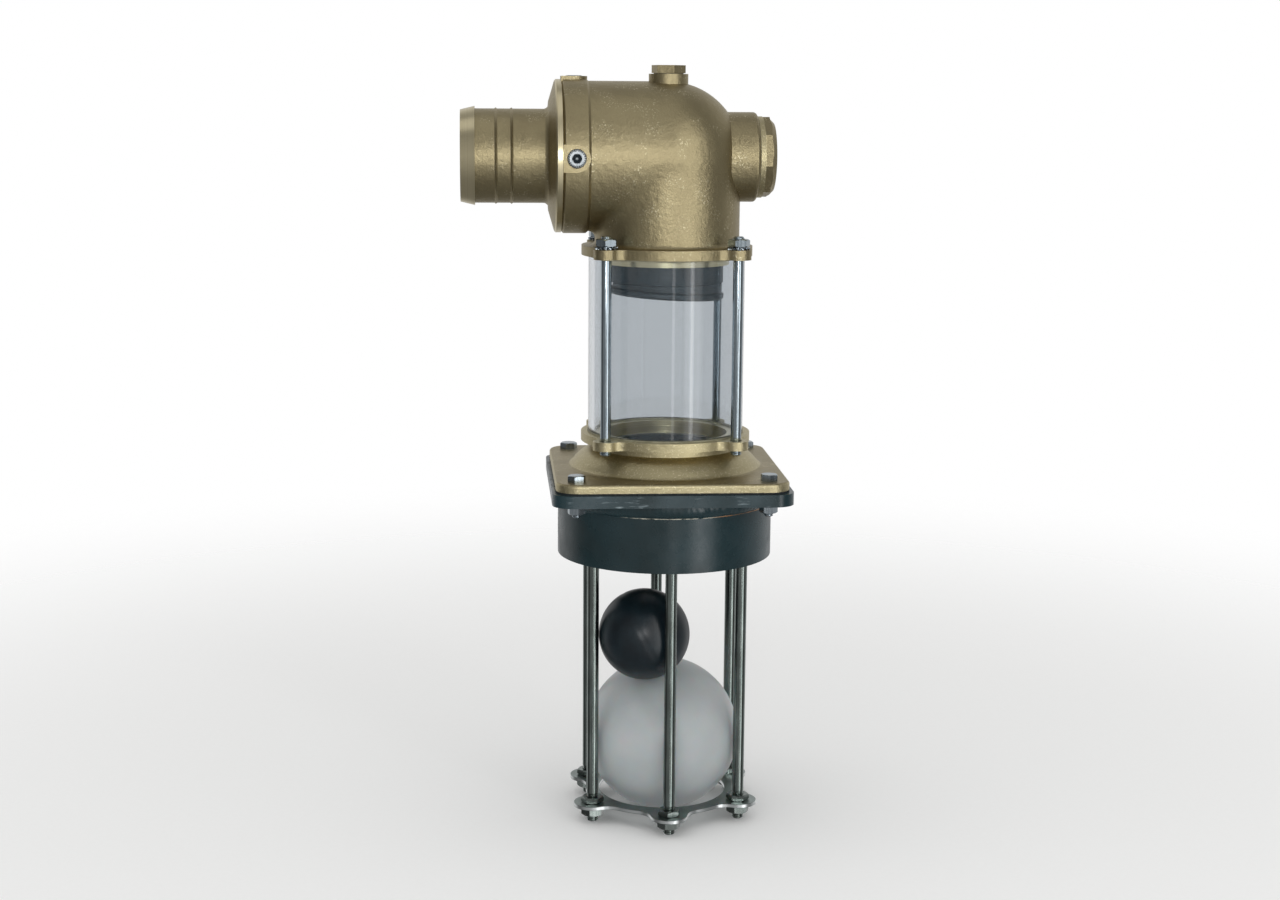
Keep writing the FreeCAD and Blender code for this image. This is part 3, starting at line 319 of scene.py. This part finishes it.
def gather(shape, places):
    """A copy of the shape at each place, as one shape."""
    single = bpy.data.meshes.new("single")
    shape.to_mesh(single)
    shape.free()
    many = bmesh.new()
    for place in places:
        done = len(many.verts)
        many.from_mesh(single)
        many.verts.ensure_lookup_table()
        bmesh.ops.transform(many, matrix=place, verts=many.verts[done:])
    bpy.data.meshes.remove(single)
    return many


def thread(shape, radius, low, high, pitch):
    """Winds a rolled thread onto a shape about Z, from low to high, and caps its ends."""
    steps = 20
    depth, half, crest, worn = 0.6 * pitch, 0.42 * pitch, 0.08 * pitch, 0.1
    done = len(shape.verts)
    corners = [shape.verts.new(((radius - inward) * mm, 0, (low + up) * mm))
               for inward, up in ((depth, -half), (worn, -crest), (worn, crest), (depth, half),
                                  (depth + 0.3, 0))]
    lines = [shape.edges.new(pair) for pair in zip(corners, corners[1:] + corners[:1])]
    turns = (high - low) / pitch
    count = round(turns * steps)
    bmesh.ops.spin(shape, geom=corners + lines, cent=(0, 0, 0), axis=(0, 0, 1), angle=math.tau * turns,
                   steps=count, dvec=(0, 0, (high - low) * mm / count))
    shape.verts.ensure_lookup_table()
    new = shape.verts[done:]
    open_edges = [e for e in shape.edges if e.is_boundary and e.verts[0] in new]
    bmesh.ops.holes_fill(shape, edges=open_edges)


def rotated(degrees, axis):
    """A turn about an axis through the origin."""
    return Matrix.Rotation(math.radians(degrees), 4, axis)


def round_axis(radius, angles, level, turns=None):
    """Places on a circle about the valve's axis, each turned about its own axis."""
    out = Matrix.Translation((radius * mm, 0, level * mm))
    return [rotated(angle, "Z") @ out @ rotated(turn - angle, "Z")
            for angle, turn in zip(angles, turns or angles)]


zinc = zinc_plate("bright_zinc_plate", "#97a4ac", "#b0bbc1", 0.18)
core_r = thread_r - thread_depth
for number, spot in enumerate(round_axis(tie_circle, tie_angles, 0), start=1):
    stud = turned([(0, stud_low), (core_r - end_chamfer, stud_low), (core_r, stud_low + end_chamfer),
                   (core_r, lower_ear_top), (shank_r, lower_ear_top + run_out),
                   (shank_r, stud_top - stud_thread - run_out), (core_r, stud_top - stud_thread),
                   (core_r, stud_top - end_chamfer), (core_r - end_chamfer, stud_top), (0, stud_top)], 24)
    thread(stud, thread_r, stud_low + end_chamfer, lower_ear_top - end_chamfer, coarse_pitch)
    thread(stud, thread_r, stud_top - stud_thread + end_chamfer, stud_top - end_chamfer, coarse_pitch)
    bmesh.ops.recalc_face_normals(stud, faces=stud.faces)
    piece("threaded_stud_%d" % number, gather(stud, [spot]), zinc, "zinc_steel", "tie_stud_%d" % number)

# Nuts and toothed washers on the tie studs: M10 nuts, 16 mm across flats, chamfered on both faces,
# on lock washers whose twisted teeth bite into the brass. The same zinc plate, brightest on the flats.

upper_ear_top, washer_thick, washer_r, nut_tall, nut_flats = 259.3, 2.5, 9.2, 6.1, 16.0
nut_turns = (38, 128, 232, 275)
teeth, tooth_root, tooth_low, tooth_high, hub_low, hub_high = 15, 6.9, 0.1, 0.9, 0.9, 1.7
tooth_lift, tooth_gap = (1.5, 0.8, 0.1, 0.8), 3


def cut_flats(blank, count, across):
    """Mills flats on a turned blank and closes each cut."""
    for step in range(count):
        away = Vector((1, 0, 0))
        away.rotate(Matrix.Rotation(math.tau * step / count, 3, "Z"))
        cut = bmesh.ops.bisect_plane(blank, geom=blank.verts[:] + blank.edges[:] + blank.faces[:],
                                     plane_co=away * across / 2 * mm, plane_no=away, clear_outer=True)
        rim = [part for part in cut["geom_cut"] if isinstance(part, bmesh.types.BMEdge)]
        bmesh.ops.holes_fill(blank, edges=rim)
    bmesh.ops.recalc_face_normals(blank, faces=blank.faces)
    return blank


def hexagon(across, tall, hole, low_chamfer=True):
    """A nut, or a bolt head with no hole: a turned blank with chamfers, then six flats."""
    corner, seat, drop = across / 2 / math.cos(math.radians(30)) + 0.02, across * 0.475, across * 0.065
    outline = [(hole, 0)] if hole else [(0, 0)]
    outline += [(seat, 0), (corner, drop)] if low_chamfer else [(corner, 0)]
    outline += [(corner, tall - drop), (seat, tall)]
    outline += [(hole + 0.5, tall), (hole, tall - 0.5)] if hole else [(0, tall)]
    return cut_flats(turned(outline), 6, across)


nut_places = round_axis(tie_circle, tie_angles, upper_ear_top + washer_thick, nut_turns)
piece("chamfered_tie_nuts", gather(hexagon(nut_flats, nut_tall, thread_r - 0.1), nut_places), zinc,
      "zinc_steel", "tie_stud_nuts", crease=20)
lock = turned([(thread_r + 0.1, hub_low), (tooth_root, hub_low), (washer_r, tooth_low),
               (washer_r, tooth_high), (tooth_root, hub_high), (thread_r + 0.1, hub_high)], teeth * 4)
for point in lock.verts:
    if point.co.xy.length > (tooth_root + 0.5) * mm:
        quarter = round(math.atan2(point.co.y, point.co.x) * teeth * 4 / math.tau) % 4
        point.co.z += tooth_lift[quarter] * mm
        if quarter == tooth_gap:
            point.co.xy *= (tooth_root + 0.2) / washer_r
piece("toothed_washers", gather(lock, round_axis(tie_circle, tie_angles, upper_ear_top, nut_turns)),
      zinc_plate("worn_zinc_plate", "#8f999f", "#c2cacf", 0.25), "zinc_steel", "tie_stud_washers", crease=20)

# Plate bolts: M8 hexagon bolts down through brass, gasket and steel, with a washer and nut below.
# Zinc plate a little duller than the studs', from handling.

bolt_circle, bolt_r, bolt_flats, bolt_head, bolt_nut, bolt_tail = 110.52, 3.9, 13.0, 5.3, 6.5, 3.0
square_top, bolt_washer_thick, bolt_washer_r, bolt_pitch, bolt_root = 74.5, 1.6, 8.0, 1.25, 3.3
bolt_turns, bolt_nut_turns = (20, 158, 226, 297), (31, 146, 250, 262)
dull_zinc = zinc_plate("handled_zinc_plate", "#929da4", "#b6c0c6", 0.2)
nut_low = plate_level - bolt_washer_thick - bolt_nut
bolt_low = nut_low - bolt_tail
bolt = hexagon(bolt_flats, bolt_head, 0, low_chamfer=False)
bmesh.ops.translate(bolt, verts=bolt.verts, vec=(0, 0, square_top * mm))
bolt_core = turned([(0, bolt_low), (bolt_root - 0.7, bolt_low), (bolt_root, bolt_low + 0.8),
                    (bolt_root, nut_low + bolt_nut), (bolt_r, nut_low + bolt_nut + 1),
                    (bolt_r, square_top + 0.2), (0, square_top + 0.2)], 24)
thread(bolt_core, bolt_r, bolt_low + 0.7, nut_low + bolt_nut, bolt_pitch)
bmesh.ops.recalc_face_normals(bolt_core, faces=bolt_core.faces)
held = bpy.data.meshes.new("held")
bolt_core.to_mesh(held)
bolt.from_mesh(held)
bpy.data.meshes.remove(held)
piece("hexagon_bolts", gather(bolt, round_axis(bolt_circle, tie_angles, 0, bolt_turns)), dull_zinc,
      "zinc_steel", "flange_bolts", crease=20)
piece("chamfered_bolt_nuts", gather(hexagon(bolt_flats, bolt_nut, bolt_r - 0.1),
                                    round_axis(bolt_circle, tie_angles, nut_low, bolt_nut_turns)),
      dull_zinc, "zinc_steel", "flange_nuts", crease=20)
round_washer = turned([(bolt_r + 0.2, 0), (bolt_washer_r - 0.2, 0), (bolt_washer_r, 0.2),
                       (bolt_washer_r, bolt_washer_thick - 0.4), (bolt_washer_r - 0.4, bolt_washer_thick),
                       (bolt_r + 0.2, bolt_washer_thick)], 40)
washer_places = round_axis(bolt_circle, tie_angles, plate_level - bolt_washer_thick)
piece("plain_washers", gather(round_washer, washer_places), dull_zinc, "zinc_steel", "flange_washers")

# Hose tail: turned from a brass casting, with a barb, two ribs, a flare and a disc against the bell.
# Blasted like the elbow, then the barb's end and the disc's rim were faced bright; their pale colour is
# partly painted highlight.

barb_end, disc_rim = (-171, -158.7), (-93.8, -88.2)
clothe(brass("tail_turned_brass", 1.4, [("X", *barb_end), ("X", *disc_rim)], along="X"), "hose_tail")

# Clamp screws: three socket screws sunk in the bell's lugs, in front, on top and behind, that hold the tail.
# Zinc plated, with a knurled rim; the socket's floor is painted dark as shade, and the drill's point shows
# bright.

screw_x, tail_level, screw_seat, head_r, head_tall, socket_flats = -77.7, 331.8, 62.4, 7.8, 3.0, 7.0
knurls, knurl_depth, shank_end, screw_shank_r, drill_r = 24, 0.35, 56.0, 4.4, 1.2
socket_r = socket_flats / 2
cap = turned([(socket_r, 0.6), (socket_r, head_tall - 0.3), (socket_r + 0.5, head_tall),
              (head_r - 2.0, head_tall), (head_r - 0.5, head_tall - 0.5), (head_r, head_tall - 1.2),
              (head_r, 0.0), (socket_r, 0.0)], knurls * 4)
for point in cap.verts:
    far, turn = point.co.xy.length, math.atan2(point.co.y, point.co.x)
    if far < (socket_r + 0.1) * mm:
        point.co.xy /= math.cos((turn % (math.tau / 6)) - math.tau / 12)
    elif far > (head_r - 1) * mm and round(turn * knurls * 4 / math.tau) % 4 < 2:
        point.co.xy *= 0.95
        point.co.z -= knurl_depth * mm if point.co.z > 1 * mm else 0
bmesh.ops.translate(cap, verts=cap.verts, vec=(0, 0, screw_seat * mm))
core = turned([(0, shank_end), (screw_shank_r, shank_end), (screw_shank_r, screw_seat + 0.9),
               (0, screw_seat + 0.9)], 36)
drilled = turned([(0, screw_seat), (drill_r, screw_seat), (drill_r, screw_seat + 1.6),
                  (drill_r / 2, screw_seat + 2.1), (0, screw_seat + 2.2)], 24)
seat_axis = Matrix.Translation((screw_x * mm, 0, tail_level * mm))
seats = [seat_axis @ rotated(turn, "X") for turn in (90, 0, -90)]
scuffed = zinc_plate("scuffed_cap_zinc", "#8f979b", "#ccd1d3", 0.42)
piece("knurled_clamp_screws", gather(cap, seats), scuffed, "zinc_steel", "clamp_screws", crease=25)
piece("drilled_screw_points", gather(drilled, seats), scuffed, "zinc_steel", crease=25)
# The shanks, seen only as the socket's floor, are painted dark as shade.
socket_shade, tree, place = finish_named("socket_painted_shade")
put(tree, "OutputMaterial", {"Surface": put(tree, "BsdfPrincipled", {
    "Metallic": 1.0, "Roughness": 0.5,
    "Base Color": layered(tree, "#22282b", ("#6d767a", blotches(tree, place, 1.5, 0.62, 0.7)))})[0]})
piece("screw_shanks", gather(core, seats), socket_shade, "zinc_steel", crease=25)

# Plugs: a large one with an eight-sided head in the side boss and a small hexagon one on top.
# Turned from brass bar and satin all over; the large one's round rim is paler.

plug_rim = (73, 78.0)
clothe(brass("bar_brass", 1.6, [], [("X", *plug_rim)]), "side_plug", "top_plug")

# Cage: six M10 rods hang from the flange and hold a plain ring below, with a nut on each side of it.
# Stainless bar with a grey-green cast, drawn lengthways; the nuts are darker, and the ring's laser-cut
# edge is painted near white as a highlight.

foot, rod_circle, rod_angles, rod_r, foot_thread = -227.5, 71.8, (-90, -30, 30, 90, 150, 210), 4.9, 24
lower_nut, lower_nut_tall, ring_thick, upper_nut_tall, cage_nut_flats = foot + 5.6, 8.0, 3.0, 5.0, 17.0
ring_low = lower_nut + lower_nut_tall
upper_nut = ring_low + ring_thick
low_turns, high_turns = (-84, -22, 41, 96, 150, 224), (-71, -38, 22, 83, 157, 203)


def drawn_steel(name, dark, light, gloss, edge_highlight=None):
    """Steel streaked along Z; a band from and to mm in height, the cut edge, is painted near white as a
    highlight.
    """
    material, tree, place = finish_named(name)
    drawn = put(tree, "Mapping", {"Vector": place, "Scale": (1.0, 1.0, 0.03)})[0]
    streak = put(tree, "TexNoise", {"Vector": drawn, "Scale": 1 / (0.8 * mm), "Detail": 3.0})[0]
    layers = [(light, put(tree, "MapRange", {"Value": streak, "From Min": 0.35, "From Max": 0.65})[0]),
              ("#6a6f6a", blotches(tree, place, 22, 0.4, 0.65, 5.0), streak)]
    if edge_highlight:
        # The cut edge's band: a painted highlight.
        layers.append(("#dfe3e3", band(tree, put(tree, "SeparateXYZ", {0: place})[2], *edge_highlight, 0.1)))
    put(tree, "OutputMaterial", {"Surface": put(tree, "BsdfPrincipled", {
        "Metallic": 1.0, "Roughness": gloss, "Base Color": layered(tree, dark, *layers),
        "Normal": put(tree, "Bump", {"Height": streak, "Distance": 0.003 * mm, "Strength": 1.0})[0]})[0]})
    return material


bar = drawn_steel("drawn_stainless_bar", "#6e7976", "#98a19d", 0.2)
rod_core = rod_r - thread_depth
for number, spot in enumerate(round_axis(rod_circle, rod_angles, 0), start=1):
    rod = turned([(0, foot), (rod_r - 1.3, foot), (rod_core, foot + 0.8), (rod_core, foot + foot_thread),
                  (rod_r, foot + foot_thread + 0.8), (rod_r, square_top), (0, square_top)], 32)
    thread(rod, rod_r, foot + 0.8, foot + foot_thread, coarse_pitch)
    bmesh.ops.recalc_face_normals(rod, faces=rod.faces)
    piece("threaded_rod_%d" % number, gather(rod, [spot]), bar, "stainless_steel", "cage_rod_%d" % number)
# The ring's cut edge gets a painted highlight.
laser_cut = drawn_steel("laser_cut_stainless", "#84908d", "#a1aba9", 0.33, (ring_low + 0.3, upper_nut - 0.3))
clothe(laser_cut, "cage_ring")
dark_steel = drawn_steel("dark_stainless", "#747d7a", "#98a09d", 0.25)
for name, node, level, tall, turns in (
        ("chamfered_lower_nuts", "cage_lower_nuts", lower_nut, lower_nut_tall, low_turns),
        ("chamfered_upper_nuts", "cage_upper_nuts", upper_nut, upper_nut_tall, high_turns)):
    places = round_axis(rod_circle, rod_angles, level, turns)
    piece(name, gather(hexagon(cage_nut_flats, tall, rod_r - 0.1), places), dark_steel, "stainless_steel",
          node, crease=20)

# Balls: the large float is blown polyethylene, milky white with a faint parting line;
# the small one is moulded rubber, black, with a low sheen and a ground-off flash line.

float_r, signal_r = 65.3, 38.3
float_centre, signal_centre = Vector((0, 0, -161.9)), Vector((-18.81, -32.58, -65.05))
float_seam, signal_seam = 0.12, 0.15


def ball(radius, seam, centre, tilt):
    """A ball spun from a half circle, with a fine line where its mould parted."""
    arc, steps = [], 96
    for step in range(steps + 1):
        angle = math.pi * (step / steps - 0.5)
        at_seam = abs(step - steps / 2) <= 1
        arc.append((0.0 if step in (0, steps) else (radius - (seam if at_seam else 0)) * math.cos(angle),
                    radius * math.sin(angle)))
    made = turned(arc, 128)
    bmesh.ops.transform(made, matrix=Matrix.Translation(centre * mm) @ tilt, verts=made.verts)
    return made


polyethylene, tree, place = finish_named("blown_polyethylene")
put(tree, "OutputMaterial", {"Surface": put(tree, "BsdfPrincipled", {
    "Roughness": 0.38, "IOR": 1.51, "Subsurface Weight": 0.5, "Subsurface Scale": 0.02,
    "Normal": uneven(tree, place, 14, 0.25),
    "Base Color": layered(tree, "#a9b0b2", ("#b4babb", blotches(tree, place, 45, 0.3, 0.7, 4.0)))})[0]})
piece("milky_float", ball(float_r, float_seam, float_centre, rotated(24, "X")), polyethylene,
      "white_plastic", "float_ball", body="float")

ball_rubber, tree, place = finish_named("moulded_ball_rubber")
put(tree, "OutputMaterial", {"Surface": put(tree, "BsdfPrincipled", {
    "Roughness": 0.36, "IOR": 1.5, "Normal": uneven(tree, place, 2.2, 0.06, 3.0),
    "Base Color": layered(tree, "#07131a", ("#0f1f26", blotches(tree, place, 16, 0.35, 0.65, 5.0)))})[0]})
piece("rubber_signal_ball", ball(signal_r, signal_seam, signal_centre, rotated(62, "Y")), ball_rubber,
      "black_rubber", "signal_ball", body="signal")

# Studio: a pale paper floor that fades into a white backdrop, a flash, two soft lamps, and the
# photograph's view. The floor keeps the valve's shadow. The metal mirrors a room instead: pale behind the
# valve, dim at the sides, and in front on the right a narrow light and a tall window.

floor_r, floor_gap, fade_from, fade_to = 2.4, 0.05, 0.45, 1.5
floor_mesh = bmesh.new()
bmesh.ops.create_circle(floor_mesh, cap_ends=True, segments=96, radius=floor_r)
bmesh.ops.translate(floor_mesh, verts=floor_mesh.verts, vec=(0, 0, (foot - floor_gap) * mm))
mesh = bpy.data.meshes.new("floor")
floor_mesh.to_mesh(mesh)
floor_mesh.free()
floor = bpy.data.objects.new("floor", mesh)
bpy.context.scene.collection.objects.link(floor)
paper, tree, place = finish_named("matt_paper")
far = put(tree, "VectorMath", {0: place}, operation="LENGTH")["Value"]
fade = put(tree, "MapRange", {"Value": far, "From Min": fade_from, "From Max": fade_to},
           interpolation_type="SMOOTHSTEP")[0]
grain = put(tree, "TexNoise", {"Vector": place, "Scale": 1 / (4 * mm)})[0]
matt = put(tree, "BsdfDiffuse", {"Color": layered(tree, "#f6f6f5", ("#f9f9f8", grain))})[0]
gone = put(tree, "Math", {0: fade, 1: put(tree, "LightPath")["Is Glossy Ray"]}, operation="MAXIMUM")[0]
put(tree, "OutputMaterial", {"Surface": put(tree, "MixShader", {
    0: gone, 1: matt, 2: put(tree, "BsdfTransparent")[0]})[0]})
mesh.materials.append(paper)

# Round the room: azimuths in degrees, 0 towards the camera and 90 to its right, with their brightness.
pale, dim_ceiling, dim_ground, soft_fill = 0.66, 0.13, 0.2, 0.76
room_walls = ((-128, 0.62), (-104, 0.09), (-78, 0.08), (-56, 0.29), (3, 0.33), (4, 2.2), (7, 2.2), (8, 0.33),
              (20, 0.33), (26, 1.7), (44, 1.7), (52, 0.1), (76, 0.08), (96, 0.35), (128, 0.62))
world = bpy.data.worlds.new("backdrop")
bpy.context.scene.world = world
world.use_nodes = True
tree = world.node_tree
tree.nodes.clear()
ray = put(tree, "LightPath")
sky = put(tree, "SeparateXYZ", {0: put(tree, "TexCoord")["Generated"]})
toward = put(tree, "Math", {0: sky[1], 1: -1.0}, operation="MULTIPLY")[0]
round_room = put(tree, "Math", {0: sky[0], 1: toward}, operation="ARCTAN2")[0]
walls = put(tree, "ValToRGB", {0: put(tree, "MapRange", {
    "Value": round_room, "From Min": -math.pi, "From Max": math.pi})[0]})[0]
ramp = tree.nodes["Color Ramp"].color_ramp
for end in ramp.elements:
    end.color = (pale, pale, pale, 1.0)
for azimuth, level in room_walls:
    stop = ramp.elements.new((azimuth + 180) / 360)
    stop.color = (level, level, level, 1.0)
high = put(tree, "MapRange", {"Value": sky[2], "From Min": 0.55, "From Max": 1.0})[0]
low = put(tree, "MapRange", {"Value": sky[2], "From Min": -0.4, "From Max": -0.8})[0]
room = put(tree, "Mix", {0: high, 6: walls, 7: (dim_ceiling,) * 3 + (1.0,)}, data_type="RGBA")[2]
room = put(tree, "Mix", {0: low, 6: room, 7: (dim_ground,) * 3 + (1.0,)}, data_type="RGBA")[2]
seen = put(tree, "Math", {0: ray["Is Camera Ray"], 1: ray["Is Transmission Ray"]}, operation="MAXIMUM")[0]
soft = put(tree, "Background", {"Color": linear("#ffffff"), "Strength": soft_fill})[0]
mirrored = put(tree, "Background", {"Color": room, "Strength": 1.0})[0]
white = put(tree, "Background", {"Color": linear("#ffffff"), "Strength": 1.0})[0]
lit = put(tree, "MixShader", {0: ray["Is Glossy Ray"], 1: soft, 2: mirrored})[0]
put(tree, "OutputWorld", {"Surface": put(tree, "MixShader", {0: seen, 1: lit, 2: white})[0]})

# Lamps: place, width and height in metres, and the light that each throws on what it is aimed at.
aim = Vector((0, 0, 0.08))
for name, spot, width, height, level in (("flash", (-0.16, -1.76, 0.43), 0.18, 0.14, 0.14),
                                         ("strip", (0.93, -1.43, 0.42), 0.16, 3.0, 0.12),
                                         ("ceiling", (-0.3, -0.2, 2.0), 1.4, 1.4, 0.09)):
    lamp = bpy.data.lights.new(name, "AREA")
    lamp.shape, lamp.size, lamp.size_y = "RECTANGLE", width, height
    away = Vector(spot) - aim
    lamp.energy = level * math.pi ** 2 * away.length_squared
    holder = bpy.data.objects.new(name, lamp)
    holder.location = spot
    holder.rotation_euler = away.to_track_quat("Z", "Y").to_euler()
    bpy.context.scene.collection.objects.link(holder)

eye, yaw, pitch, roll = Vector((-0.15073, -1.68491, 0.38589)), 0.0768, 0.1755, 0.0078
photo_width_pixels, focal_pixels = 1280, 2031.3
right = Vector((math.cos(yaw), -math.sin(yaw), 0))
ahead = Vector((math.sin(yaw) * math.cos(pitch), math.cos(yaw) * math.cos(pitch), -math.sin(pitch)))
upward = right.cross(ahead)
side = math.cos(roll) * right + math.sin(roll) * upward
head = math.cos(roll) * upward - math.sin(roll) * right
lens = bpy.data.cameras.new("camera")
lens.sensor_fit, lens.sensor_width = "HORIZONTAL", 36.0
lens.lens = focal_pixels / photo_width_pixels * lens.sensor_width
lens.clip_start, lens.clip_end = 0.05, 20.0
camera = bpy.data.objects.new("camera", lens)
camera.matrix_world = Matrix.Translation(eye) @ Matrix((side, head, -ahead)).transposed().to_4x4()
bpy.context.scene.collection.objects.link(camera)
bpy.context.scene.camera = camera
bpy.context.scene.view_settings.view_transform = "Standard"
